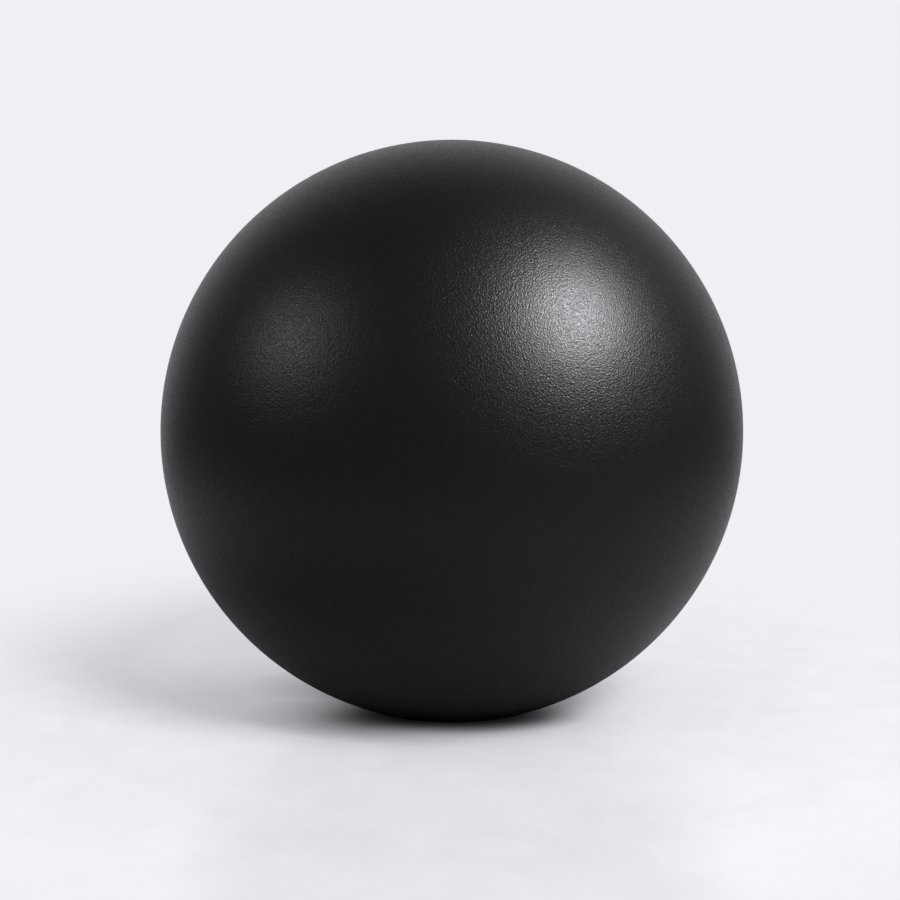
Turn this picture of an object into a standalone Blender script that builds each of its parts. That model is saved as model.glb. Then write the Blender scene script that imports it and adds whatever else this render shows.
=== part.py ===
"""Pilates ball: a small inflated exercise ball of soft vinyl, with its air valve.

The ball stands on the floor at z = 0, with the middle of its contact patch at the origin and +Z up.
Its valve faces +Y, at the height of the ball's centre. All sizes are in metres.

Pieces:
    ball_shell  the hollow skin, with a thick land round its valve hole
    valve_seat  the soft insert bonded in that hole: neck, flange and boss, with the bore for the plug
    air_plug    the push-in plug, which slides out along +Y
"""

import math

import bmesh
import bpy

# Ball: a sphere whose foot is flattened by the floor, with a round shoulder between flat and sphere.
BALL_RADIUS = 0.125
SKIN_WALL = 0.0008
CONTACT_RADIUS = 0.027
SHOULDER_RADIUS = 0.036

# Plug: a thin round head on a barbed stem with a blunt tip.
HEAD_RADIUS = 0.0052
HEAD_THICKNESS = 0.0013
HEAD_ROUND = 0.0004
STEM_CORE_RADIUS = 0.0021
BARB_RADIUS = 0.0026
BARB_COUNT = 3
BARB_PITCH = 0.0034
BARB_LAND = 0.0008
STEM_NECK = 0.0022
TIP_LENGTH = 0.0036
TIP_RADIUS = 0.0014

# Valve seat: neck in the skin's hole, flange behind the land, boss round the stem.
NECK_WALL = 0.0027
NECK_ROUND = 0.0004
FLANGE_OVERLAP = 0.0060
FLANGE_THICKNESS = 0.0014
BOSS_WALL = 0.0030
BOSS_LENGTH = 0.0085
BORE_LEAD = 0.0005

# Land: the flat ring inside the skin that carries the flange.
LAND_MARGIN = 0.0035
LAND_STEP = 0.0006

# Clearance between pieces that touch, all round and along the axis.
CLEARANCE = 0.0003

# Facets: steps round each turned piece, and along the ball's arcs.
BALL_STEPS = 64
VALVE_STEPS = 32
SHOULDER_STEPS = 3
LOWER_STEPS = 13
UPPER_STEPS = 16
ROUND_STEPS = 3

# Sizes that follow from the ones above.
SHOULDER_ANGLE = math.asin(CONTACT_RADIUS / (BALL_RADIUS - SHOULDER_RADIUS))
CENTRE_HEIGHT = SHOULDER_RADIUS + (BALL_RADIUS - SHOULDER_RADIUS) * math.cos(SHOULDER_ANGLE)
RECESS_RADIUS = HEAD_RADIUS + CLEARANCE
RECESS_DEPTH = HEAD_THICKNESS + CLEARANCE
BORE_RADIUS = BARB_RADIUS + CLEARANCE
NECK_RADIUS = RECESS_RADIUS + NECK_WALL
HOLE_RADIUS = NECK_RADIUS + CLEARANCE
FLANGE_RADIUS = NECK_RADIUS + FLANGE_OVERLAP
BOSS_RADIUS = BORE_RADIUS + BOSS_WALL
LAND_RADIUS = FLANGE_RADIUS + LAND_MARGIN
INNER_RADIUS = BALL_RADIUS - SKIN_WALL
FACE_Y = math.sqrt(BALL_RADIUS**2 - HOLE_RADIUS**2)
LAND_Y = math.sqrt(INNER_RADIUS**2 - LAND_RADIUS**2) - LAND_STEP
LAND_DEPTH = FACE_Y - LAND_Y

MERGE_DISTANCE = 1e-6
SHARP_ANGLE = math.radians(35)


def clear_scene():
    """Remove every object that is already there."""
    for item in list(bpy.data.objects):
        bpy.data.objects.remove(item, do_unlink=True)


def make_material(name, colour, roughness, subsurface=0.0):
    """Return a Principled material of one colour."""
    material = bpy.data.materials.new(name)
    material.use_nodes = True
    shader = material.node_tree.nodes["Principled BSDF"]
    shader.inputs["Base Color"].default_value = (*colour, 1.0)
    shader.inputs["Roughness"].default_value = roughness
    shader.inputs["Metallic"].default_value = 0.0
    shader.inputs["Subsurface Weight"].default_value = subsurface
    return material


def arc(centre_r, centre_z, radius, start, end, steps):
    """Return points (r, z) on an arc. Angles count from straight down, towards larger r."""
    angles = [start + (end - start) * i / steps for i in range(steps + 1)]
    return [(centre_r + radius * math.sin(a), centre_z - radius * math.cos(a)) for a in angles]


def turn(name, profile, steps, closed, material):
    """Spin a profile of points (r, z) once round the local Z axis, and return the new object.

    A profile that isn't closed starts and ends on the axis.
    """
    shape = bmesh.new()
    points = [shape.verts.new((r, 0.0, z)) for r, z in profile]
    pairs = list(zip(points, points[1:]))
    if closed:
        pairs.append((points[-1], points[0]))
    edges = [shape.edges.new(pair) for pair in pairs]
    bmesh.ops.spin(
        shape,
        geom=points + edges,
        cent=(0.0, 0.0, 0.0),
        axis=(0.0, 0.0, 1.0),
        angle=math.tau,
        steps=steps,
        use_merge=True,
    )
    bmesh.ops.remove_doubles(shape, verts=shape.verts, dist=MERGE_DISTANCE)
    bmesh.ops.recalc_face_normals(shape, faces=shape.faces)
    mesh = bpy.data.meshes.new(name)
    shape.to_mesh(mesh)
    shape.free()
    mesh.shade_smooth()
    mesh.set_sharp_from_angle(angle=SHARP_ANGLE)
    if material:
        mesh.materials.append(material)
    turned = bpy.data.objects.new(name, mesh)
    bpy.context.collection.objects.link(turned)
    return turned


def hide_cutter(cutter):
    """Mark an object as a cutter, which is no piece of the ball."""
    cutter.hide_render = True
    cutter.display_type = "WIRE"


def cut(target, cutter):
    """Subtract a cutter from a target with a live Boolean."""
    boolean = target.modifiers.new(f"cut_{cutter.name}", "BOOLEAN")
    boolean.operation = "DIFFERENCE"
    boolean.solver = "EXACT"
    boolean.object = cutter
    hide_cutter(cutter)


def ball_profile(inset):
    """Return the ball's outline (r, z) from foot to crown, moved inwards by inset."""
    foot = [(0.0, inset), (CONTACT_RADIUS, inset)]
    shoulder = arc(
        CONTACT_RADIUS, SHOULDER_RADIUS, SHOULDER_RADIUS - inset, 0.0, SHOULDER_ANGLE, SHOULDER_STEPS
    )
    radius = BALL_RADIUS - inset
    lower = arc(0.0, CENTRE_HEIGHT, radius, SHOULDER_ANGLE, math.pi / 2, LOWER_STEPS)
    upper = arc(0.0, CENTRE_HEIGHT, radius, math.pi / 2, math.pi, UPPER_STEPS)
    crown = [(0.0, CENTRE_HEIGHT + radius)]
    return foot + shoulder[1:] + lower[1:] + upper[1:-1] + crown


def make_valve_axis():
    """Return an empty at the middle of the valve's face, with its Z axis pointing out of the ball."""
    axis = bpy.data.objects.new("valve_axis", None)
    axis.location = (0.0, FACE_Y, CENTRE_HEIGHT)
    axis.rotation_euler = (-math.pi / 2, 0.0, 0.0)
    bpy.context.collection.objects.link(axis)
    return axis


def make_rod_cutter(name, radius, bottom, top, valve_axis):
    """Return a round cutter on the valve's axis, between two heights above the valve's face."""
    profile = [(0.0, bottom), (radius, bottom), (radius, top), (0.0, top)]
    rod = turn(name, profile, VALVE_STEPS, False, None)
    rod.parent = valve_axis
    return rod


def make_ball_shell(material, valve_axis):
    """Build the skin: the ball's outline less the air space and the valve hole.

    The air space is itself cut away behind the valve, which leaves the land on the skin's inner face.
    """
    shell = turn("ball_shell", ball_profile(0.0), BALL_STEPS, False, material)
    air_space = turn("air_space", ball_profile(SKIN_WALL), BALL_STEPS, False, None)
    land = make_rod_cutter("land_block", LAND_RADIUS, -LAND_DEPTH, LAND_DEPTH, valve_axis)
    hole = make_rod_cutter("valve_hole", HOLE_RADIUS, -2 * LAND_DEPTH, LAND_DEPTH, valve_axis)
    cut(air_space, land)
    cut(shell, air_space)
    cut(shell, hole)
    return shell


def make_valve_seat(material, valve_axis):
    """Build the soft insert: a turned ring whose middle is the plug's recess and bore."""
    flange_top = -LAND_DEPTH - CLEARANCE
    flange_bottom = flange_top - FLANGE_THICKNESS
    boss_end = flange_bottom - BOSS_LENGTH
    face_edge = arc(
        NECK_RADIUS - NECK_ROUND, -NECK_ROUND, NECK_ROUND, math.pi / 2, math.pi, ROUND_STEPS
    )
    profile = [
        (RECESS_RADIUS, 0.0),
        (RECESS_RADIUS, -RECESS_DEPTH),
        (BORE_RADIUS + BORE_LEAD, -RECESS_DEPTH),
        (BORE_RADIUS, -RECESS_DEPTH - BORE_LEAD),
        (BORE_RADIUS, boss_end),
        (BOSS_RADIUS, boss_end),
        (BOSS_RADIUS, flange_bottom),
        (FLANGE_RADIUS, flange_bottom),
        (FLANGE_RADIUS, flange_top),
        (NECK_RADIUS, flange_top),
    ] + face_edge
    seat = turn("valve_seat", profile, VALVE_STEPS, True, material)
    seat.parent = valve_axis
    return seat


def stem_profile():
    """Return the stem's outline from its tip up to the head, with one slanted barb per pitch."""
    barb_top = -HEAD_THICKNESS - STEM_NECK
    points = [(STEM_CORE_RADIUS, -HEAD_THICKNESS)]
    for i in range(BARB_COUNT):
        top = barb_top - i * BARB_PITCH
        points.append((STEM_CORE_RADIUS, top))
        points.append((BARB_RADIUS, top))
        points.append((BARB_RADIUS, top - BARB_LAND))
        points.append((STEM_CORE_RADIUS, top - BARB_PITCH + BARB_LAND))
    stem_end = barb_top - BARB_COUNT * BARB_PITCH
    points.append((STEM_CORE_RADIUS, stem_end))
    points.append((TIP_RADIUS, stem_end - TIP_LENGTH))
    points.append((0.0, stem_end - TIP_LENGTH))
    return points[::-1]


def make_air_plug(material, valve_axis):
    """Build the plug, whose head's outer face lies in the plane of the seat's face."""
    lower_edge = [(HEAD_RADIUS - HEAD_ROUND, -HEAD_THICKNESS), (HEAD_RADIUS, HEAD_ROUND - HEAD_THICKNESS)]
    upper_edge = arc(
        HEAD_RADIUS - HEAD_ROUND, -HEAD_ROUND, HEAD_ROUND, math.pi / 2, math.pi, ROUND_STEPS
    )
    profile = stem_profile() + lower_edge + upper_edge + [(0.0, 0.0)]
    plug = turn("air_plug", profile, VALVE_STEPS, False, material)
    plug.parent = valve_axis
    return plug


def main():
    """Build the ball and its valve."""
    clear_scene()
    vinyl = make_material("black_vinyl", (0.012, 0.012, 0.013), 0.48)
    insert = make_material("insert_vinyl", (0.010, 0.010, 0.011), 0.40)
    stopper = make_material("milky_plastic", (0.72, 0.71, 0.67), 0.35, subsurface=0.2)
    valve_axis = make_valve_axis()
    make_ball_shell(vinyl, valve_axis)
    make_valve_seat(insert, valve_axis)
    make_air_plug(stopper, valve_axis)
    bpy.context.view_layer.update()


main()
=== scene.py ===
"""The dressed pilates ball: fine surfaces, finishes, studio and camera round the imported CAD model.

The ball stands on the floor at z = 0, with its valve towards +Y, and the camera looks along +Y at the plain side.
Sizes are in metres and angles in radians, and every piece is a surface worked out as whole numpy arrays.
"""

import logging
import math
from dataclasses import dataclass
from enum import Enum
from functools import partial, reduce
from typing import Any

import bpy
import numpy as np
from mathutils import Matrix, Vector


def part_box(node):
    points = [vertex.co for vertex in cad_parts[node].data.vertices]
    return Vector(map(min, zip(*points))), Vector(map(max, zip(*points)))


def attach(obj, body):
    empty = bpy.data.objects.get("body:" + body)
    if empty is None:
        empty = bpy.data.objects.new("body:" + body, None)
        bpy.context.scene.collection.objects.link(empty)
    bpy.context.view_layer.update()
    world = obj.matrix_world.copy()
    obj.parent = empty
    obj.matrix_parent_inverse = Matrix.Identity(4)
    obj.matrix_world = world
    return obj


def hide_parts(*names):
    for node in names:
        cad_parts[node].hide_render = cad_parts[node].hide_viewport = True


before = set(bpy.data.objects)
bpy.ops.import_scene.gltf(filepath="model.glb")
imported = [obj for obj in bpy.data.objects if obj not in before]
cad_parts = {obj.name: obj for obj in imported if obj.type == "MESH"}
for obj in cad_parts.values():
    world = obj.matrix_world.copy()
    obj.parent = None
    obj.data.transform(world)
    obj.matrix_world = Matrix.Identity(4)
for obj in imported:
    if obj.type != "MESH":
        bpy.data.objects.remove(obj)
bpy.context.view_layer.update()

LOG = logging.getLogger("pilates_ball")
UV_NAME = "OFBake"
GRAIN_NAME = "grain"
WELD = 1e-6
TINY = 1e-12
WAY_DIGITS = 9
SHARP_ANGLE = math.radians(50)
QUARTER = math.pi / 2
NOISE_RANGE = (0.3, 0.7)
SQUARE_MIDDLE = 0.5
SQUARE_REACH = 0.499

Array = np.ndarray
Object = bpy.types.Object
Material = bpy.types.Material
Pair = tuple[float, float]
Triple = tuple[float, float, float]
Colour = Triple
Corner = Triple

LAMP_COLOUR: Colour = (0.955, 0.96, 1.0)


class Body(Enum):
    """The moving bodies of the CAD model."""

    BALL = "ball"
    PLUG = "plug"


class Slot(Enum):
    """The material slots."""

    SKIN = "grained_vinyl"
    INSERT = "insert_vinyl"
    PLUG = "plug_plastic"


class Course(Enum):
    """The courses of a ramp, as Blender names them."""

    EVEN = "LINEAR"
    SMOOTH = "SMOOTHSTEP"
    SMOOTHER = "SMOOTHERSTEP"


@dataclass(frozen=True)
class Ramp:
    """A level that changes between two places and is held on both sides of them.

    Attributes:
        start: Where the change starts.
        end: Where it ends.
        before: Level at the start.
        after: Level at the end.
        course: Course of the change.
    """

    start: float
    end: float
    before: float = 0.0
    after: float = 1.0
    course: Course = Course.EVEN


def unit(vectors: Array) -> Array:
    """Return the vectors, which run along the last axis, scaled to length one."""
    return vectors / np.linalg.norm(vectors, axis=-1, keepdims=True)


def ease(value: Array, start: float, end: float) -> Array:
    """Return 0 below start and 1 above end, with a smooth step of 6t^5 - 15t^4 + 10t^3 between them."""
    t = np.clip((value - start) / (end - start), 0.0, 1.0)
    return t * t * t * (t * (6.0 * t - 15.0) + 10.0)


def full_turn(steps: int) -> Array:
    """Return the angles of a full turn in even steps, with both its ends."""
    return np.linspace(0.0, math.tau, steps + 1)


def corners_of(grid: Array) -> Array:
    """Return the four corners of every cell of a grid.

    The corner order makes a cell's normal point along the row direction crossed with the column direction.

    Args:
        grid: Values on a grid, rows x columns x width.

    Returns:
        The values at the corners, cells x 4 x width.
    """
    cells = np.stack([grid[:-1, :-1], grid[1:, :-1], grid[1:, 1:], grid[:-1, 1:]], axis=2)
    return cells.reshape(-1, 4, grid.shape[-1])


@dataclass(frozen=True)
class Patch:
    """A part of a surface, as loose four-cornered cells.

    Attributes:
        corners: Positions, cells x 4 x 3.
        places: Places on the piece's texture square, cells x 4 x 2.
        grain: How much of the skin's grain each corner shows, from 0 to 1: cells x 4, or one number for all.
    """

    corners: Array
    places: Array
    grain: Array | float = 0.0


def make_piece(name: str, patches: list[Patch]) -> Object:
    """Weld patches into one closed mesh with a texture map and the grain attribute.

    Corners that lie within the weld distance become one vertex. A cell loses a corner that repeats the next one,
    which turns the cells at a pole into triangles.

    Args:
        name: Name of the new piece.
        patches: The parts of its surface.

    Returns:
        The new object, at the origin.
    """
    corners = np.concatenate([patch.corners for patch in patches])
    places = np.concatenate([patch.places for patch in patches])
    grain = np.concatenate([patch.grain + np.zeros(patch.corners.shape[:2]) for patch in patches])
    keys = np.round(corners.reshape(-1, 3) / WELD).astype(np.int64)
    _, first, index = np.unique(keys, axis=0, return_index=True, return_inverse=True)
    loops = index.reshape(-1, 4)
    kept = loops != np.roll(loops, -1, axis=1)
    kept[kept.sum(axis=1) < 3] = False
    sizes = kept.sum(axis=1)
    sizes = sizes[sizes > 0]

    mesh = bpy.data.meshes.new(name)
    mesh.vertices.add(len(first))
    mesh.vertices.foreach_set("co", corners.reshape(-1, 3)[first].astype(np.float32).ravel())
    mesh.loops.add(int(sizes.sum()))
    mesh.loops.foreach_set("vertex_index", loops[kept].astype(np.int32))
    mesh.polygons.add(len(sizes))
    starts = np.concatenate([[0], np.cumsum(sizes)[:-1]]).astype(np.int32)
    mesh.polygons.foreach_set("loop_start", starts)
    mesh.update(calc_edges=True)
    uv_map = mesh.uv_layers.new(name=UV_NAME)
    uv_map.uv.foreach_set("vector", places[kept].astype(np.float32).ravel())
    shown = mesh.attributes.new(GRAIN_NAME, "FLOAT", "POINT")
    shown.data.foreach_set("value", grain.reshape(-1)[first].astype(np.float32))
    mesh.validate()
    mesh.shade_smooth()
    mesh.set_sharp_from_angle(angle=SHARP_ANGLE)
    piece = bpy.data.objects.new(name, mesh)
    bpy.context.scene.collection.objects.link(piece)
    return piece


def dress(piece: Object, material: Material, node: str, body: Body) -> Object:
    """Give a piece its finish and let it stand for a CAD node and move with its body.

    Args:
        piece: The finished mesh.
        material: Its finish.
        node: Name of the CAD node that it replaces.
        body: Body that it moves with.

    Returns:
        The piece.
    """
    piece.data.materials.append(material)
    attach(piece, body.value)
    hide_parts(node)
    LOG.info("%s stands for %s: %d faces", piece.name, node, len(piece.data.polygons))
    return piece


class Nodes:
    """Adds nodes to one node tree and links them."""

    def __init__(self, tree: bpy.types.NodeTree) -> None:
        """Keep the tree and empty it."""
        self.tree = tree
        tree.nodes.clear()

    def add(self, kind: str, inputs: dict[Any, Any] | None = None, **settings: Any) -> bpy.types.Node:
        """Add a node.

        Args:
            kind: Type name of the node, without its ShaderNode prefix.
            inputs: Per input, by name or number, the socket to link it to or its value.
            settings: Values of the node's own properties.

        Returns:
            The new node.
        """
        node = self.tree.nodes.new("ShaderNode" + kind)
        for name, value in settings.items():
            setattr(node, name, value)
        for key, value in (inputs or {}).items():
            if isinstance(value, bpy.types.NodeSocket):
                self.tree.links.new(value, node.inputs[key])
            else:
                node.inputs[key].default_value = value
        return node

    def math(self, operation: str, *values: Any) -> bpy.types.NodeSocket:
        """Add a Math node for up to three values or sockets, and return its result."""
        return self.add("Math", dict(enumerate(values)), operation=operation).outputs[0]

    def times(self, *factors: Any) -> Any:
        """Return the socket with the product of values or sockets."""
        return reduce(partial(self.math, "MULTIPLY"), factors)

    def highest(self, *values: Any) -> Any:
        """Return the socket with the highest of values or sockets."""
        return reduce(partial(self.math, "MAXIMUM"), values)

    def rest(self, value: Any) -> Any:
        """Return the socket with one minus a value."""
        return self.math("SUBTRACT", 1.0, value)

    def ramp(self, value: Any, ramp: Ramp) -> Any:
        """Return the socket with a ramp's level at a value."""
        limits = {"Value": value, 1: ramp.start, 2: ramp.end, 3: ramp.before, 4: ramp.after}
        return self.add("MapRange", limits, interpolation_type=ramp.course.value).outputs[0]

    def noise(self, vector: Any, period: float, detail: float = 2.0, roughness: float = 0.5, warp: float = 0.0) -> Any:
        """Add a noise of about one period in metres, from 0 to 1, and return its socket."""
        return self.add(
            "TexNoise",
            {"Vector": vector, "Scale": 1.0 / period, "Detail": detail, "Roughness": roughness, "Distortion": warp},
        ).outputs[0]

    def spread(self, noise: Any, low: float, high: float) -> Any:
        """Spread the middle part of a noise over a range, and return the socket."""
        return self.ramp(noise, Ramp(*NOISE_RANGE, low, high))

    def length(self, vector: Any) -> Any:
        """Return the socket with a vector's length."""
        return self.add("VectorMath", {0: vector}, operation="LENGTH").outputs["Value"]

    def bump(self, height: Any, distance: float, normal: Any = None) -> Any:
        """Add a bump of a height in metres, on top of another one if given, and return its normal."""
        inputs = {"Height": height, "Distance": distance, "Strength": 1.0}
        if normal is not None:
            inputs["Normal"] = normal
        return self.add("Bump", inputs).outputs["Normal"]

    def mixed_colour(self, factor: Any, first: Colour, second: Colour) -> Any:
        """Blend two colours by a factor, and return the socket."""
        node = self.add("Mix", {0: factor, 6: (*first, 1.0), 7: (*second, 1.0)}, data_type="RGBA")
        return node.outputs[2]

    def principled(self, inputs: dict[str, Any]) -> Any:
        """Add a Principled shader, and return its socket."""
        return self.add("BsdfPrincipled", inputs).outputs[0]

    def mixed_shader(self, factor: Any, first: Any, second: Any) -> Any:
        """Blend two shaders by a factor, and return the socket."""
        return self.add("MixShader", {0: factor, 1: first, 2: second}).outputs[0]

    def rays(self) -> tuple[Any, Any]:
        """Return the sockets that are 1 for rays that see the backdrop, and for glossy rays."""
        path = self.add("LightPath").outputs
        return self.highest(path["Is Camera Ray"], path["Is Transmission Ray"]), path["Is Glossy Ray"]

    def finish(self, shader: Any, output: str = "OutputMaterial") -> None:
        """Link a shader to the tree's output."""
        self.add(output, {"Surface": shader})


def new_material(name: str) -> tuple[Material, Nodes, Any]:
    """Return a new material, the node builder for its emptied tree and the socket with the place on the object."""
    material = bpy.data.materials.new(name)
    material.use_nodes = True
    nodes = Nodes(material.node_tree)
    return material, nodes, nodes.add("TexCoord").outputs["Object"]


@dataclass(frozen=True)
class GrainedVinyl:
    """Black soft vinyl with a fine leather grain.

    Attributes:
        dark: Colour in the grain's hollows: the vinyl's own colour, darkened further as painted shade in them.
        light: Colour on its crests.
        gloss: Specular level, uniform.
        roughness: Roughness of the hollows and of the crests.
        height: Height of the grain.
        crest: Width of one crest and hollow of the main grain, and how far it is bent.
        pebble: Width of the pebbles under the crests, softness of their borders, and what one unit of distance from
            their middle adds to the height.
        fine: Width of one crest and hollow of the fine grain, and its share in the height.
        depths: Heights of the grain at which the hollows end and the crests start.
        even: Level, from hollow to crest, of the smooth skin round the valve.
        swell: Width and height of the skin's slow unevenness.
    """

    dark: Colour = (0.0008, 0.0008, 0.0009)
    light: Colour = (0.0045, 0.0045, 0.0049)
    gloss: float = 0.25
    roughness: Pair = (0.46, 0.29)
    height: float = 0.000125
    crest: Pair = (0.00066, 0.35)
    pebble: Triple = (0.00088, 0.4, -0.45)
    fine: Pair = (0.00037, 0.50)
    depths: Pair = (0.25, 0.70)
    even: float = 0.6
    swell: Pair = (0.022, 0.00010)

    def material(self) -> Material:
        """Build the node tree and return the material."""
        material, nodes, place = new_material("grained_vinyl_finish")
        shown = nodes.add("Attribute", attribute_name=GRAIN_NAME).outputs["Fac"]
        (period, warp), (width, softness, depth) = self.crest, self.pebble
        (fine_period, fine_share), (swell_width, swell_height) = self.fine, self.swell
        crests = nodes.noise(place, period, detail=1.0, warp=warp)
        shape = {"Vector": place, "Scale": 1.0 / width, "Smoothness": softness}
        pebbles = nodes.add("TexVoronoi", shape, feature="SMOOTH_F1").outputs["Distance"]
        main_grain = nodes.math("MULTIPLY_ADD", pebbles, depth, crests)
        grain = nodes.math("MULTIPLY_ADD", nodes.noise(place, fine_period, detail=1.0), fine_share, main_grain)
        swell = nodes.bump(nodes.noise(place, swell_width, detail=1.0), swell_height)
        above = nodes.ramp(grain, Ramp(*self.depths, -self.even, 1.0 - self.even))
        level = nodes.math("MULTIPLY_ADD", above, shown, self.even)
        # The hollows' darker base colour is partly painted shade in them.
        looks = {
            "Base Color": nodes.mixed_colour(level, self.dark, self.light),
            "Roughness": nodes.ramp(level, Ramp(0.0, 1.0, *self.roughness)),
            "Specular IOR Level": self.gloss,
            "Normal": nodes.bump(nodes.times(grain, shown), self.height, swell),
        }
        nodes.finish(nodes.principled(looks))
        return material


@dataclass(frozen=True)
class MouldedVinyl:
    """Smooth satin black vinyl, with the faint rings of a turned mould.

    Attributes:
        dark: Darkest colour.
        light: Lightest colour.
        gloss: Specular level, uniform.
        roughness: Range of the roughness.
        cloud: Width of the slow change of colour and roughness, and its height against the tool marks.
        ring: Pitch and height of the mould's tool marks.
    """

    dark: Colour = (0.0060, 0.0060, 0.0066)
    light: Colour = (0.0100, 0.0100, 0.0110)
    gloss: float = 0.4
    roughness: Pair = (0.34, 0.46)
    cloud: Pair = (0.0025, 1.5)
    ring: Pair = (0.00055, 0.000006)

    def material(self, axis_height: float) -> Material:
        """Build the node tree and return the material.

        Args:
            axis_height: Height of the valve's axis, which the tool marks run round.
        """
        material, nodes, place = new_material("insert_vinyl_finish")
        centred = nodes.add("Mapping", {"Vector": place, "Location": (0.0, 0.0, -axis_height)}).outputs[0]
        across = nodes.add("VectorMath", {0: centred, 1: (1.0, 0.0, 1.0)}, operation="MULTIPLY").outputs[0]
        (width, share), (pitch, depth) = self.cloud, self.ring
        marks = nodes.math("SINE", nodes.times(nodes.length(across), math.tau / pitch))
        cloud = nodes.noise(place, width, detail=3.0)
        looks = {
            "Base Color": nodes.mixed_colour(cloud, self.dark, self.light),
            "Roughness": nodes.spread(cloud, *self.roughness),
            "Specular IOR Level": self.gloss,
            "Normal": nodes.bump(nodes.math("MULTIPLY_ADD", cloud, share, marks), depth),
        }
        nodes.finish(nodes.principled(looks))
        return material


@dataclass(frozen=True)
class MilkyPlastic:
    """Waxy, milky moulded plastic.

    Attributes:
        shade: Colour of the denser clouds.
        light: Colour of the clearer ones.
        roughness: Range of the roughness.
        cloud: Width of the clouds, number of their finer parts and how strong these are.
        skin: Width and height of the fine unevenness of the surface.
        milk: Share of the light that goes into the plastic.
        milk_depth: How far its red, green and blue get.
    """

    shade: Colour = (0.66, 0.65, 0.60)
    light: Colour = (0.78, 0.77, 0.73)
    roughness: Pair = (0.28, 0.42)
    cloud: Triple = (0.0035, 3.0, 0.55)
    skin: Pair = (0.0004, 0.000008)
    milk: float = 0.25
    milk_depth: Triple = (0.0020, 0.0018, 0.0014)

    def material(self) -> Material:
        """Build the node tree and return the material."""
        material, nodes, place = new_material("plug_plastic_finish")
        cloud = nodes.noise(place, *self.cloud)
        width, height = self.skin
        looks = {
            "Base Color": nodes.mixed_colour(nodes.spread(cloud, 0.0, 1.0), self.shade, self.light),
            "Roughness": nodes.spread(cloud, *self.roughness),
            "Subsurface Weight": self.milk,
            "Subsurface Radius": self.milk_depth,
            "Subsurface Scale": 1.0,
            "Normal": nodes.bump(nodes.noise(place, width), height),
        }
        nodes.finish(nodes.principled(looks))
        return material


@dataclass(frozen=True)
class RestingBall:
    """The ball's outline as it rests: a sphere with a flat foot and a round shoulder between the two.

    Attributes:
        radius: Radius of the sphere.
        contact_radius: Radius of the flat foot.
        shoulder_radius: Radius of the shoulder's section.
    """

    radius: float = 0.125
    contact_radius: float = 0.027
    shoulder_radius: float = 0.036

    @property
    def shoulder_angle(self) -> float:
        """Angle from straight down at which the sphere starts."""
        return math.asin(self.contact_radius / (self.radius - self.shoulder_radius))

    @property
    def centre_height(self) -> float:
        """Height of the sphere's centre above the floor."""
        return self.shoulder_radius + (self.radius - self.shoulder_radius) * math.cos(self.shoulder_angle)

    def at(self, bearings: Array, inset: float = 0.0) -> Array:
        """Return the point of the outline that lies on each bearing from the sphere's centre.

        A bearing outside the foot gives the centre plus the radius times the bearing. Inside it, the way along the
        outline from the foot's middle grows evenly with the angle from straight down: it runs along the flat as far
        as the contact radius, and from there round the shoulder.

        Args:
            bearings: Unit vectors.
            inset: Distance by which the whole outline is moved inwards.

        Returns:
            Points of the same shape.
        """
        down = np.arccos(np.clip(-bearings[..., 2], -1.0, 1.0))
        level = bearings[..., :2] / np.maximum(np.linalg.norm(bearings[..., :2], axis=-1, keepdims=True), TINY)
        bend = self.shoulder_radius - inset
        run = down / self.shoulder_angle * (self.contact_radius + bend * self.shoulder_angle)
        turned = np.maximum(run - self.contact_radius, 0.0) / bend
        foot_reach = np.where(turned > 0.0, self.contact_radius + bend * np.sin(turned), run)
        foot_height = self.shoulder_radius - bend * np.cos(turned)
        low = down < self.shoulder_angle
        reach = np.where(low, foot_reach, (self.radius - inset) * np.sin(down))
        height = np.where(low, foot_height, self.centre_height - (self.radius - inset) * np.cos(down))
        return np.concatenate([level * reach[..., None], height[..., None]], axis=-1)


@dataclass(frozen=True)
class ValveAxis:
    """The valve's axis, which runs along +Y at one height.

    Attributes:
        height: Height of the axis above the floor.
        face: Y at which the valve's face lies.
    """

    height: float
    face: float

    def bearings(self, tilt: Array, around: Array) -> Array:
        """Return unit vectors at angles from +Y (tilt) and round it (around), which counts from +Z towards +X."""
        tilt, around = np.broadcast_arrays(tilt, around)
        level = np.sin(tilt)
        return np.stack([level * np.sin(around), np.cos(tilt), level * np.cos(around)], axis=-1)

    def turned(self, profile: Array, steps: int) -> Array:
        """Carry a profile once round the axis.

        Each profile point keeps its y and moves on a circle of its own radius. A profile that runs away from the axis
        faces +Y, and one that runs towards -Y faces away from the axis.

        Args:
            profile: Points (radius, y), rows x 2.
            steps: Number of steps round the axis.

        Returns:
            Positions, rows x (steps + 1) x 3.
        """
        around = full_turn(steps)
        radius, y = profile[:, :1], profile[:, 1:]
        return np.stack([radius * np.sin(around), y + 0.0 * around, self.height + radius * np.cos(around)], axis=-1)


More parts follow.
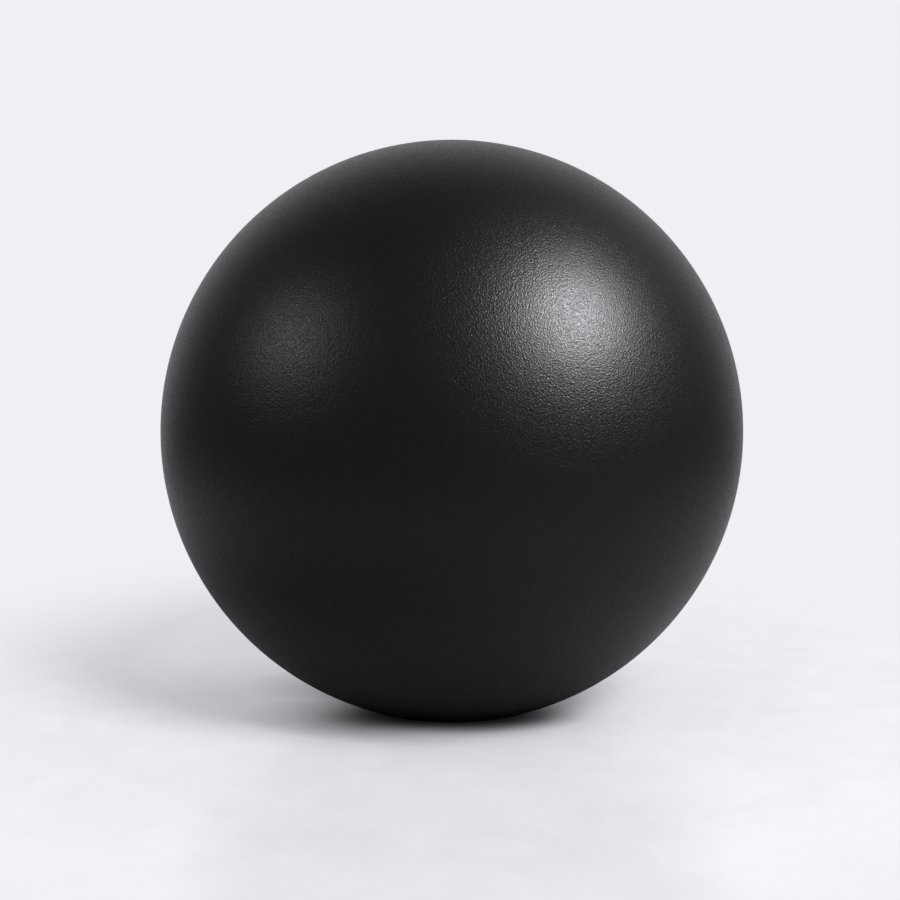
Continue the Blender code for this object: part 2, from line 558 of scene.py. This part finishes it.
def softened(corners: list[Corner], step: float, bend_steps: int = 6) -> Array:
    """Round the corners of a profile and divide its long runs.

    Each corner gives way to a parabola that starts and ends its own reach away from it: (1-t)^2 times the start, plus
    2t(1-t) times the corner, plus t^2 times the end. Between these, points follow at most one step apart.

    Args:
        corners: Points (radius, y, reach of the rounding). The first and last are ends and stay sharp.
        step: Longest way between two points.
        bend_steps: Number of steps in a rounding.

    Returns:
        Points (radius, y), rows x 2.
    """
    table = np.array(corners)
    points, reach = table[:, :2], table[1:-1, 2:]
    middle = points[1:-1]
    start = middle + reach * unit(points[:-2] - middle)
    end = middle + reach * unit(points[2:] - middle)
    t = np.linspace(0.0, 1.0, bend_steps + 1)[None, :, None]
    bends = (1 - t) ** 2 * start[:, None] + 2 * t * (1 - t) * middle[:, None] + t**2 * end[:, None]
    path = np.concatenate([points[:1], bends.reshape(-1, 2), points[-1:]])
    way = np.concatenate([[0.0], np.cumsum(np.linalg.norm(np.diff(path, axis=0), axis=1))])
    even = np.linspace(0.0, way[-1], int(way[-1] / step) + 1)
    new = np.unique(np.round(np.concatenate([way, even]), WAY_DIGITS))
    return np.stack([np.interp(new, way, path[:, 0]), np.interp(new, way, path[:, 1])], axis=-1)


@dataclass
class Skin:
    """The ball's one-piece skin: a hollow shell with a raised pad, a collar and a round hole at the valve.

    Attributes:
        axis: The valve's axis.
        ball: Outline of the resting ball.
        finish: Finish of the outside.
        wall: Thickness of the skin.
        hole_radius: Radius of the valve hole.
        lip: Rounding of the hole's edge.
        land: Radius of the thick land inside, round the hole, and Y of its flat.
        collar: Radius, half width and height of the raised collar round the hole.
        pad_radius: Where the smooth pad round the collar starts to fall away, and where it ends.
        pad_height: Height of the pad above the grained skin.
        grain_radius: Between these two distances from the valve's axis the grain sets in.
        side: Number of cells along the side of each sixth of the ball.
        row_step: Distance between the rows at the valve.
        row_margin: How far those rows go on past the start of the full grain.
        widening: Factor by which each next row is wider, and the number of such rows.
        wide_rows: Width of the rows beyond them, in row steps, and their number.
        inside_rows: Number of rows of the inner wall.
        hole_steps: Number of steps along the lip and along the hole's wall.
        hidden: Angles from the valve between which the inner wall lies on the texture square, as shares of the hole's.
    """

    axis: ValveAxis
    ball: RestingBall
    finish: GrainedVinyl = GrainedVinyl()
    wall: float = 0.0008
    hole_radius: float = 0.0085
    lip: float = 0.0005
    land: Pair = (0.0177, 0.122332)
    collar: Triple = (0.0107, 0.0008, 0.00045)
    pad_radius: Pair = (0.0146, 0.0160)
    pad_height: float = 0.00022
    grain_radius: Pair = (0.0150, 0.0172)
    side: int = 84
    row_step: float = 0.00028
    row_margin: float = 0.001
    widening: tuple[float, int] = (1.1, 24)
    wide_rows: tuple[float, int] = (9.0, 26)
    inside_rows: int = 28
    hole_steps: tuple[int, int] = (8, 7)
    hidden: Pair = (0.01, 0.35)

    @property
    def steps(self) -> int:
        """Number of cells round the valve, which meets the border of the valve's sixth of the ball."""
        return 4 * self.side

    @property
    def hole_angle(self) -> float:
        """Angle from the valve's axis at which the first ring outside the hole lies."""
        return math.asin((self.hole_radius + self.lip) / self.ball.radius)

    def outside(self, bearings: Array) -> Array:
        """Return the points of the outer surface on each bearing.

        The height above the ball's outline is the collar, which falls off as a bell curve with the distance from its
        circle, plus the pad, which is level as far as its edge and eases down there.

        Args:
            bearings: Unit vectors from the sphere's centre.
        """
        points = self.ball.at(bearings)
        reach = self.reach_of(points)
        radius, width, height = self.collar
        collar = height * np.exp(-(((reach - radius) / width) ** 2))
        pad = self.pad_height * (1.0 - ease(reach, *self.pad_radius))
        raised = np.where(bearings[..., 1] > 0.0, collar + pad, 0.0)
        return points + bearings * raised[..., None]

    def reach_of(self, points: Array) -> Array:
        """Return each point's distance from the valve's axis."""
        return np.hypot(points[..., 0], points[..., 2] - self.axis.height)

    def grain_at(self, points: Array) -> Array:
        """Return how much grain the outer surface shows: none on the pad and collar, and all of it elsewhere."""
        return np.where(points[..., 1] > 0.0, ease(self.reach_of(points), *self.grain_radius), 1.0)

    @staticmethod
    def square_map(bearings: Array) -> Array:
        """Return places on the texture square for the corners of cells, with equal areas for equal areas.

        The front (-Y) lies at the square's middle and the valve (+Y) at its four corners. The distance from the middle,
        counted across plus up, is the root of one minus the cosine of the angle from the front, and the turn round the
        front moves evenly along it. The back half is folded outwards over the slanted lines, so the only cuts run
        from the valve along four quarter circles. Each cell lies in one quarter, which the signs of its middle give.

        Args:
            bearings: Unit vectors, cells x 4 x 3.

        Returns:
            Places, cells x 4 x 2.
        """
        front = -bearings[..., 1]
        far = np.sqrt(np.maximum(1.0 - np.abs(front), 0.0))
        up = far * np.arctan2(np.abs(bearings[..., 2]), np.abs(bearings[..., 0])) / QUARTER
        across = far - up
        back = front < 0.0
        folded = np.stack([np.where(back, 1.0 - up, across), np.where(back, 1.0 - across, up)], axis=-1)
        quarter = np.sign(bearings.mean(axis=1, keepdims=True)[..., [0, 2]])
        return SQUARE_MIDDLE + SQUARE_REACH * quarter * folded

    def outer_patch(self, bearings: Array) -> Patch:
        """Return the patch of the outer surface over a grid of bearings."""
        points = self.outside(bearings)
        corners = corners_of(points)
        grain = corners_of(self.grain_at(points)[..., None])[..., 0]
        return Patch(corners, self.square_map(corners_of(bearings)), grain)

    def inner_patch(self, points: Array, shares: Pair) -> Patch:
        """Return a patch without grain, whose places on the texture square lie inside the hole.

        Args:
            points: Positions in rings round the axis, rows x columns x 3.
            shares: Angle from the valve of the first ring's places and of the last one's, as shares of the hole's.
        """
        start, end = (share * self.hole_angle for share in shares)
        tilt = np.linspace(start, end, len(points))[:, None]
        return Patch(corners_of(points), self.square_map(corners_of(self.axis.bearings(tilt, full_turn(self.steps)))))

    def plain_sixths(self) -> list[Patch]:
        """Return the five sixths of the ball away from the valve.

        Each is a square grid of even angles from -45 to 45 degrees both ways, whose bearing is the sixth's own
        direction plus the tangents of the two angles along its sides.
        """
        tangent = np.tan(np.linspace(-math.pi / 4, math.pi / 4, self.side + 1))[:, None]
        x, y, z = np.eye(3)
        frames = [(-y, x, z), (x, y, z), (-x, z, y), (z, x, y), (-z, y, x)]
        return [
            self.outer_patch(unit(out + tangent[:, None] * right + tangent[None, :] * up)) for out, right, up in frames
        ]

    def valve_sixth(self) -> Patch:
        """Return the sixth round the valve: rings that start at the hole and end at the sixth's square border.

        The angle from the valve grows from the hole's edge to the border, whose tangent is one over the larger of the
        sine and cosine of the turn. The rings lie close at the valve and a tenth wider each time further out.
        """
        start = self.hole_angle
        fine = int((self.grain_radius[1] + self.row_margin - self.hole_radius) / self.row_step)
        factor, widened = self.widening
        wide, count = self.wide_rows
        widths = np.concatenate([np.ones(fine), factor ** np.arange(1, widened + 1), np.full(count, wide)])
        share = np.concatenate([[0.0], np.cumsum(widths)]) / widths.sum()
        around = full_turn(self.steps)
        border = np.arctan(1.0 / np.maximum(np.abs(np.sin(around)), np.abs(np.cos(around))))
        return self.outer_patch(self.axis.bearings(start + (border - start) * share[:, None], around))

    def hole(self) -> Patch:
        """Return the inner land, the wall of the hole and its rounded lip.

        The lip is a quarter of an ellipse between the wall and the first ring outside.
        """
        rim = self.outside(self.axis.bearings(np.array(self.hole_angle), np.array(0.0)))
        rim_radius, rim_y = float(self.reach_of(rim)), float(rim[1])
        inner = self.ball.radius - self.wall
        radius, flat = self.land
        land = [(radius, math.sqrt(inner**2 - radius**2)), (radius, flat), (self.hole_radius, flat)]
        t = np.linspace(0.0, QUARTER, self.hole_steps[0] + 1)
        reach = rim_radius - (rim_radius - self.hole_radius) * np.cos(t)
        lip = np.stack([reach, rim_y - self.lip * (1.0 - np.sin(t))], axis=-1)
        wall = np.linspace(land[-1], lip[0], self.hole_steps[1] + 1)[1:-1]
        profile = np.concatenate([land, wall, lip])
        return self.inner_patch(self.axis.turned(profile, self.steps), (self.hidden[1], 1.0))

    def inside(self) -> Patch:
        """Return the inner wall, from the point opposite the valve to the land, one wall inside the outline."""
        end = math.asin(self.land[0] / (self.ball.radius - self.wall))
        tilt = np.linspace(math.pi, end, self.inside_rows + 1)[:, None]
        points = self.ball.at(self.axis.bearings(tilt, full_turn(self.steps)), self.wall)
        return self.inner_patch(points, self.hidden)

    def build(self) -> Object:
        """Make the skin, dress it and put it in the frame."""
        piece = make_piece("skin", [*self.plain_sixths(), self.valve_sixth(), self.hole(), self.inside()])
        return dress(piece, self.finish.material(), "ball_shell", Body.BALL)


@dataclass
class TurnedPiece:
    """A piece of the valve, which is a section turned round its axis.

    Attributes:
        axis: The valve's axis.
        step: Longest way between two rows.
        steps: Number of cells round the axis.
    """

    axis: ValveAxis
    step: float = 0.00035
    steps: int = 96

    def turned(self, name: str, section: list[Corner]) -> Object:
        """Make the piece, whose texture square holds the turn across and the way along the section up.

        Args:
            name: Name of the new piece.
            section: Corners (radius, y, rounding), whose y counts from the valve's face.

        Returns:
            The new object.
        """
        profile = softened(section, self.step) + np.array([0.0, self.axis.face])
        way = np.concatenate([[0.0], np.cumsum(np.linalg.norm(np.diff(profile, axis=0), axis=1))])
        up, across = np.meshgrid(way / way[-1], np.linspace(0.0, 1.0, self.steps + 1), indexing="ij")
        corners = corners_of(self.axis.turned(profile, self.steps))
        return make_piece(name, [Patch(corners, corners_of(np.stack([across, up], axis=-1)))])


@dataclass
class ValveInsert(TurnedPiece):
    """The soft insert in the skin's hole: neck, flange and boss, with the plug's recess and bore.

    Attributes:
        finish: Its finish.
        recess: Radius and depth of the recess for the plug's head.
        bore_radius: Radius of the bore.
        lead: Size of the funnel at the bore's mouth.
        neck_radius: Radius of the neck.
        flange: Radius, top and bottom of the flange, the last two from the face.
        boss: Radius and end of the boss.
        groove: Radius, half width and depth of the ring groove in the face.
        groove_floor: Half width of the groove's flat, as a share of its half width.
        seam: Share of the recess's depth at which the section starts and ends.
        edge: Rounding of the neck's upper edge and of the boss's end.
        mouth_edge: Rounding of the recess's mouth.
        groove_edge: Rounding of the groove's upper and lower edges.
        flange_edge: Rounding of the flange and of the boss's root.
        inner_edge: Rounding of the edges inside.
    """

    finish: MouldedVinyl = MouldedVinyl()
    recess: Pair = (0.0055, 0.0016)
    bore_radius: float = 0.0029
    lead: float = 0.0005
    neck_radius: float = 0.0082
    flange: Triple = (0.0142, -0.002679, -0.004079)
    boss: Pair = (0.0059, -0.012579)
    groove: Triple = (0.0069, 0.00035, 0.00016)
    groove_floor: float = 0.3
    seam: float = 0.6
    edge: float = 0.0004
    mouth_edge: float = 0.00025
    groove_edge: Pair = (0.00012, 0.00010)
    flange_edge: Pair = (0.0003, 0.0005)
    inner_edge: float = 0.0002

    def section(self) -> list[Corner]:
        """Return the section's corners (radius, y, rounding), from the recess's wall round to it again."""
        recess, depth = self.recess
        flange, flange_top, flange_bottom = self.flange
        boss, boss_end = self.boss
        middle, half, sunk = self.groove
        floor_half = self.groove_floor * half
        (top_edge, floor_edge), (flange_edge, root) = self.groove_edge, self.flange_edge
        seam = (recess, -self.seam * depth, 0.0)
        return [
            seam,
            (recess, 0.0, self.mouth_edge),
            (middle - half, 0.0, top_edge),
            (middle - floor_half, -sunk, floor_edge),
            (middle + floor_half, -sunk, floor_edge),
            (middle + half, 0.0, top_edge),
            (self.neck_radius, 0.0, self.edge),
            (self.neck_radius, flange_top, 0.0),
            (flange, flange_top, flange_edge),
            (flange, flange_bottom, flange_edge),
            (boss, flange_bottom, root),
            (boss, boss_end, self.edge),
            (self.bore_radius, boss_end, self.inner_edge),
            (self.bore_radius, -depth - self.lead, self.inner_edge),
            (self.bore_radius + self.lead, -depth, self.inner_edge),
            (recess, -depth, self.inner_edge),
            seam,
        ]

    def build(self) -> Object:
        """Make the insert, dress it and put it in the frame."""
        piece = self.turned("valve_insert", self.section())
        return dress(piece, self.finish.material(self.axis.height), "valve_seat", Body.BALL)


@dataclass
class Stopper(TurnedPiece):
    """The push-in plug: a flat round head on a barbed stem.

    Attributes:
        step: Longest way between two rows.
        finish: Its finish.
        head: Radius and thickness of the head.
        head_edge: Rounding of the head's upper edge.
        under_edge: Rounding of its lower edge and where the stem starts.
        dish: Depth of the dish in the head, width of its flat rim and width of its slope.
        dish_edge: Rounding of the slope's foot and top.
        gate: Radius, height and slope of the small mark at the head's middle, where the mould was filled.
        gate_edge: Rounding of its top and foot.
        core: Radius of the stem.
        barb: Radius of the barbs and length of their flat.
        barb_pitch: Distance between two barbs.
        barb_count: Number of barbs.
        barb_edge: Rounding of a barb's foot, upper edge, lower edge and slope's end.
        neck: Length of plain stem under the head.
        tip: Radius and length of the tapered tip.
        tip_edge: Rounding where it starts and where it ends.
    """

    step: float = 0.00025
    finish: MilkyPlastic = MilkyPlastic()
    head: Pair = (0.0052, 0.0013)
    head_edge: float = 0.0004
    under_edge: float = 0.0003
    dish: Triple = (0.00022, 0.0011, 0.0006)
    dish_edge: Pair = (0.00045, 0.0003)
    gate: Triple = (0.0006, 0.00014, 0.00008)
    gate_edge: Pair = (0.00012, 0.00006)
    core: float = 0.0021
    barb: Pair = (0.0026, 0.0008)
    barb_pitch: float = 0.0034
    barb_count: int = 3
    barb_edge: tuple[float, float, float, float] = (0.00010, 0.00012, 0.00020, 0.00025)
    neck: float = 0.0022
    tip: Pair = (0.0014, 0.0036)
    tip_edge: Pair = (0.0004, 0.0005)

    def section(self) -> list[Corner]:
        """Return the section's corners (radius, y, rounding), from the head's middle down to the tip's."""
        radius, thickness = self.head
        depth, rim, slope = self.dish
        gate_radius, gate_height, gate_slope = self.gate
        barb, land = self.barb
        foot, upper, lower, slope_end = self.barb_edge
        tip_radius, tip_length = self.tip
        first = -thickness - self.neck
        corners = [
            (0.0, gate_height - depth, 0.0),
            (gate_radius, gate_height - depth, self.gate_edge[0]),
            (gate_radius + gate_slope, -depth, self.gate_edge[1]),
            (radius - rim - slope, -depth, self.dish_edge[0]),
            (radius - rim, 0.0, self.dish_edge[1]),
            (radius, 0.0, self.head_edge),
            (radius, -thickness, self.under_edge),
            (self.core, -thickness, self.under_edge),
        ]
        for i in range(self.barb_count):
            top = first - i * self.barb_pitch
            corners += [
                (self.core, top, foot),
                (barb, top, upper),
                (barb, top - land, lower),
                (self.core, top - self.barb_pitch + land, slope_end),
            ]
        end = first - self.barb_count * self.barb_pitch
        start, stop = self.tip_edge
        return corners + [(self.core, end, start), (tip_radius, end - tip_length, stop), (0.0, end - tip_length, 0.0)]

    def build(self) -> Object:
        """Make the plug, dress it and put it in the frame."""
        piece = self.turned("stopper", self.section())
        return dress(piece, self.finish.material(), "air_plug", Body.PLUG)


class Reach(Enum):
    """What a light acts on."""

    GLOSS = "gloss"
    MATT = "matt"


@dataclass(frozen=True)
class Softbox:
    """A round soft light that faces the ball.

    Attributes:
        name: Name of the light.
        towards: Direction from the ball's centre to the light.
        distance: Distance of the light from it.
        size: Diameter of the light.
        power: Power in watts.
        reach: What it acts on.
    """

    name: str
    towards: Triple
    distance: float
    size: float
    power: float
    reach: Reach

    def place(self, centre: Vector) -> Object:
        """Add the light to the scene.

        Args:
            centre: Point that it faces.

        Returns:
            The light's object.
        """
        lamp = bpy.data.lights.new(self.name, "AREA")
        lamp.shape = "ELLIPSE"
        lamp.size = lamp.size_y = self.size
        lamp.color = LAMP_COLOUR
        lamp.energy = self.power
        light = bpy.data.objects.new(self.name, lamp)
        out = Vector(self.towards).normalized()
        light.location = centre + self.distance * out
        light.rotation_mode = "QUATERNION"
        light.rotation_quaternion = out.to_track_quat("Z", "Y")
        light.visible_camera = False
        light.visible_diffuse = self.reach is Reach.MATT
        light.visible_glossy = self.reach is Reach.GLOSS
        bpy.context.scene.collection.objects.link(light)
        return light


@dataclass(frozen=True)
class Surroundings:
    """What lies round the ball: the backdrop, the darker room in reflections and the soft light from all round.

    Attributes:
        backdrop: Colour of the backdrop.
        ambient: Level of the soft light from all round, over the sine of the elevation.
        room: Level of the surroundings in reflections, over the cosine of the angle from +Y. It rises from the dark
            room to the backdrop behind the ball.
    """

    backdrop: Colour = (0.8655, 0.871, 0.906)
    ambient: Ramp = Ramp(0.69, 0.85, 1.72, 0.0, Course.SMOOTH)
    room: Ramp = Ramp(0.60, 0.91, 0.17, 0.79, Course.SMOOTH)

    def build(self) -> None:
        """Make the world: the backdrop for the camera, a darker room for reflections and an even ambient light.

        In reflections the level eases from the dark side behind the camera (-Y) to the backdrop behind the ball.
        """
        world = bpy.data.worlds.new("studio")
        bpy.context.scene.world = world
        world.use_nodes = True
        world.cycles.sampling_method = "NONE"
        nodes = Nodes(world.node_tree)
        seen, glossy = nodes.rays()
        parts = nodes.add("SeparateXYZ", {0: nodes.add("TexCoord").outputs["Generated"]}).outputs
        ambient, room, plain = (
            nodes.add("Background", {"Color": (*self.backdrop, 1.0), "Strength": strength}).outputs[0]
            for strength in (nodes.ramp(parts["Z"], self.ambient), nodes.ramp(parts["Y"], self.room), 1.0)
        )
        nodes.finish(nodes.mixed_shader(seen, nodes.mixed_shader(glossy, ambient, room), plain), "OutputWorld")


@dataclass(frozen=True)
class Floor:
    """The round floor of smooth pale plaster, which turns into the backdrop away from the ball.

    Attributes:
        rings: Radii of its rings, from the outermost to the middle.
        steps: Number of steps round it.
        drop: Depth of the floor below z = 0.
        colour: Mean colour.
        mottle: Part by which the clouds are darker and lighter.
        cloud: Width of the clouds.
        cloud_detail: Number of their finer parts, how strong these are and how far they are bent.
        roughness: Range of the roughness.
        gloss: Specular level, uniform.
        fade: Share of the backdrop that the camera sees in the floor, over the distance from the origin.
        front: The same share in front of the foot, over the distance in front of the origin, which paints light into
            the shade there.
        behind: The same share behind the ball, over the distance behind the origin, which paints light into the
            shade there.
        behind_side: Factor on it, over the distance to the side.
        foot_shade: Factor on the floor's level in reflections, over the distance from the origin.
        lit_side: Share of the lit floor in reflections, over X.
        lit_beyond: The same share on all sides, over the distance from the origin.
        lit_end: Factor on both, over that distance.
        pool_side: Part by which painted shade makes the middle of the floor in front darker, over the distance to
        the side.
        pool_start: Factor on it, over the distance in front of the origin.
        pool_end: Second such factor.
        contact_place: Distance from the origin, to the front and back, of the middle of the contact's painted shadow.
        contact_squeeze: Factor on the way across, which makes that shadow wider than deep.
        contact: Level of the painted shadow, over the distance from its middle.
        tail: Part by which the painted shadow's longer tail on the left is darker, over the same distance.
        tail_side: Factor on it, over X.
    """

    rings: tuple[float, ...] = (8.0, 3.0, 1.0, 0.3, 0.1, 0.0)
    steps: int = 96
    drop: float = 0.00005
    colour: Colour = (0.845, 0.848, 0.86)
    mottle: float = 0.05
    cloud: float = 0.030
    cloud_detail: Triple = (5.0, 0.68, 0.6)
    roughness: Pair = (0.29, 0.37)
    gloss: float = 0.75
    fade: Ramp = Ramp(0.10, 0.34, course=Course.SMOOTHER)
    front: Ramp = Ramp(0.030, 0.0535, 0.0, 0.30)
    behind: Ramp = Ramp(0.01, 0.07, 0.0, 0.32)
    behind_side: Ramp = Ramp(0.13, 0.18, 1.0, 0.0)
    foot_shade: Ramp = Ramp(0.047, 0.125)
    lit_side: Ramp = Ramp(-0.12, 0.08, 0.06, 0.50)
    lit_beyond: Ramp = Ramp(0.15, 0.30, 0.0, 0.50)
    lit_end: Ramp = Ramp(0.35, 0.70, 1.0, 0.0)
    pool_side: Ramp = Ramp(0.070, 0.100, 0.07, 0.0)
    pool_start: Ramp = Ramp(0.10, 0.17)
    pool_end: Ramp = Ramp(0.24, 0.36, 1.0, 0.0)
    contact_place: float = 0.0227
    contact_squeeze: float = 0.455
    contact: Ramp = Ramp(0.0110, 0.0277, 0.13, 1.0, Course.SMOOTH)
    tail: Ramp = Ramp(0.0110, 0.042, 0.69, 0.0)
    tail_side: Ramp = Ramp(-0.039, -0.009, 1.0, 0.0)

    def painted_shade(self, nodes: Nodes, parts: Any, before: Any) -> Any:
        """Return the socket with the painted shade that lowers the plaster's level: a darker pool in front, and the
        contact's shadow round the foot with a longer tail on the left.

        The shade's distance is the length of the squeezed way across and the way in or out from its middle, which lies
        as far behind the origin as in front of it.

        Args:
            nodes: Builder of the finish.
            parts: Sockets with the place's parts.
            before: Socket with the distance in front of the origin.
        """
        # Painted shade: the pool in front, then the contact's shadow and its tail on the left.
        beside = nodes.ramp(nodes.math("ABSOLUTE", parts["X"]), self.pool_side)
        pool = nodes.times(beside, nodes.ramp(before, self.pool_start), nodes.ramp(before, self.pool_end))
        squeezed = nodes.times(parts["X"], self.contact_squeeze)
        inwards = nodes.math("SUBTRACT", nodes.math("ABSOLUTE", parts["Y"]), self.contact_place)
        away = nodes.length(nodes.add("CombineXYZ", {0: squeezed, 1: inwards}).outputs[0])
        tail = nodes.times(nodes.ramp(away, self.tail), nodes.ramp(parts["X"], self.tail_side))
        shade = nodes.times(nodes.ramp(away, self.contact), nodes.rest(tail))
        return nodes.times(nodes.rest(pool), shade)

    def material(self, around: Surroundings) -> Material:
        """Build the node tree and return the material.

        A share of the floor shows the backdrop in place of the plaster. For the camera it is the highest of the fade
        and the shares in front and behind, which two paint light into the floor's shade; the painted shade darkens
        this backdrop too. In reflections it is what the lit share leaves, glowing at the room's level: a painted
        reflection, darker except behind the ball, with painted shade round the foot.

        Args:
            around: The surroundings that the floor turns into.
        """
        material, nodes, place = new_material("studio_floor_finish")
        seen, glossy = nodes.rays()
        parts = nodes.add("SeparateXYZ", {0: place}).outputs
        before = nodes.times(parts["Y"], -1.0)
        away = nodes.length(place)

        # Painted shade on the plaster's colour and on the backdrop that the camera sees in the floor.
        painted_shade = self.painted_shade(nodes, parts, before)
        cloud = nodes.noise(place, self.cloud, *self.cloud_detail)
        low, high = (tuple(factor * part for part in self.colour) for factor in (1.0 - self.mottle, 1.0 + self.mottle))
        plaster = nodes.mixed_colour(nodes.spread(cloud, 0.0, 1.0), low, high)
        looks = {
            "Base Color": nodes.add("VectorMath", {0: plaster, "Scale": painted_shade}, operation="SCALE").outputs[0],
            "Roughness": nodes.spread(cloud, *self.roughness),
            "Specular IOR Level": self.gloss,
        }

        # In reflections the floor glows at the room's level: a painted reflection, darker except behind the ball, with
        # painted shade round the foot.
        shade = nodes.ramp(away, self.foot_shade)
        level = nodes.times(nodes.ramp(nodes.math("DIVIDE", parts["Y"], away), around.room), shade)
        strength = nodes.highest(nodes.times(level, glossy), nodes.times(painted_shade, seen))
        plain = nodes.add("Emission", {"Color": (*around.backdrop, 1.0), "Strength": strength}).outputs[0]

        sides = nodes.highest(nodes.ramp(parts["X"], self.lit_side), nodes.ramp(away, self.lit_beyond))
        lit = nodes.times(sides, nodes.times(shade, nodes.ramp(away, self.lit_end)))
        # For the camera, the shares in front of the foot and behind the ball paint light into the floor's shade.
        aside = nodes.ramp(nodes.math("ABSOLUTE", parts["X"]), self.behind_side)
        behind = nodes.times(nodes.ramp(parts["Y"], self.behind), aside)
        shown = nodes.highest(nodes.ramp(away, self.fade), nodes.ramp(before, self.front), behind)
        share = nodes.highest(nodes.times(shown, seen), nodes.times(nodes.rest(lit), glossy))
        nodes.finish(nodes.mixed_shader(share, nodes.principled(looks), plain))
        return material

    def build(self, around: Surroundings) -> Object:
        """Make the floor as a grid of rings a hair below z = 0, and dress it.

        Args:
            around: The surroundings that it turns into.

        Returns:
            The floor's object.
        """
        rings = np.array(self.rings)[:, None]
        turn = full_turn(self.steps)
        level = -self.drop + 0.0 * rings * turn
        corners = corners_of(np.stack([rings * np.sin(turn), rings * np.cos(turn), level], axis=-1))
        floor = make_piece("studio_floor", [Patch(corners, corners[..., :2])])
        floor.data.materials.append(self.material(around))
        return floor


@dataclass(frozen=True)
class Studio:
    """The plain pale studio: surroundings, floor and soft lights.

    Attributes:
        around: The surroundings.
        floor: The floor.
        lights: The soft lights.
    """

    around: Surroundings = Surroundings()
    floor: Floor = Floor()
    lights: tuple[Softbox, ...] = (
        Softbox("key_softbox", (0.452, -0.646, 0.616), distance=1.8, size=0.62, power=20.8, reach=Reach.MATT),
        Softbox("key_glow", (0.628, -0.450, 0.635), distance=1.6, size=0.95, power=8.6, reach=Reach.GLOSS),
        Softbox("key_core", (0.668, -0.298, 0.682), distance=1.6, size=0.54, power=60.0, reach=Reach.GLOSS),
        Softbox("fill_softbox", (-0.820, -0.230, 0.525), distance=1.8, size=0.46, power=7.3, reach=Reach.GLOSS),
    )

    def build(self, centre: Vector) -> None:
        """Make the world, the floor and the lights round the ball's centre.

        The lights for gloss leave the floor out, which would otherwise mirror them in white from behind.

        Args:
            centre: The ball's centre.
        """
        self.around.build()
        left_out = bpy.data.collections.new("left_out_of_gloss")
        left_out.objects.link(self.floor.build(self.around))
        left_out.collection_objects[0].light_linking.link_state = "EXCLUDE"
        for light in self.lights:
            lamp = light.place(centre)
            if light.reach is Reach.GLOSS:
                lamp.light_linking.receiver_collection = left_out
            LOG.info("%s placed", light.name)


@dataclass(frozen=True)
class Viewpoint:
    """The camera, at the photograph's viewing angle.

    Attributes:
        distance: Distance from the ball's centre.
        elevation: Angle above the horizon from which it looks.
        lens: Focal length in millimetres.
        sensor: Width of the sensor in millimetres.
        image: Width of the image in pixels.
        centre_offset: How many pixels right of and above the image's middle the ball's centre lies.
        clip: Nearest and furthest distance that it sees.
    """

    distance: float = 0.920
    elevation: float = math.radians(10.0)
    lens: float = 85.0
    sensor: float = 36.0
    image: float = 900.0
    centre_offset: Pair = (1.8, 18.6)
    clip: Pair = (0.01, 50.0)

    def build(self, centre: Vector) -> None:
        """Make the camera and turn it so that the ball's centre lies at its offset in the image.

        Args:
            centre: The ball's centre.
        """
        camera = bpy.data.cameras.new("camera")
        camera.lens = self.lens
        camera.sensor_width = self.sensor
        camera.dof.use_dof = False
        camera.clip_start, camera.clip_end = self.clip
        back = Vector((0.0, -math.cos(self.elevation), math.sin(self.elevation)))
        up = Vector((0.0, math.sin(self.elevation), math.cos(self.elevation)))
        right = Vector((1.0, 0.0, 0.0))
        pixel = self.distance * self.sensor / self.lens / self.image
        aim = centre - pixel * (self.centre_offset[0] * right + self.centre_offset[1] * up)
        viewer = bpy.data.objects.new("camera", camera)
        viewer.location = centre + self.distance * back
        viewer.rotation_mode = "QUATERNION"
        viewer.rotation_quaternion = (aim - viewer.location).to_track_quat("-Z", "Y")
        bpy.context.scene.collection.objects.link(viewer)
        bpy.context.scene.camera = viewer


def main() -> None:
    """Build the ball, the studio and the camera."""
    logging.basicConfig(level=logging.INFO, format="%(message)s")
    ball = RestingBall()
    axis = ValveAxis(height=ball.centre_height, face=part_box("valve_seat")[1].y)
    centre = Vector((0.0, 0.0, ball.centre_height))
    for part in (Skin(axis, ball), ValveInsert(axis), Stopper(axis)):
        part.build()
    Studio().build(centre)
    Viewpoint().build(centre)
    bpy.context.scene.view_settings.view_transform = "Standard"


if __name__ == "__main__":
    main()
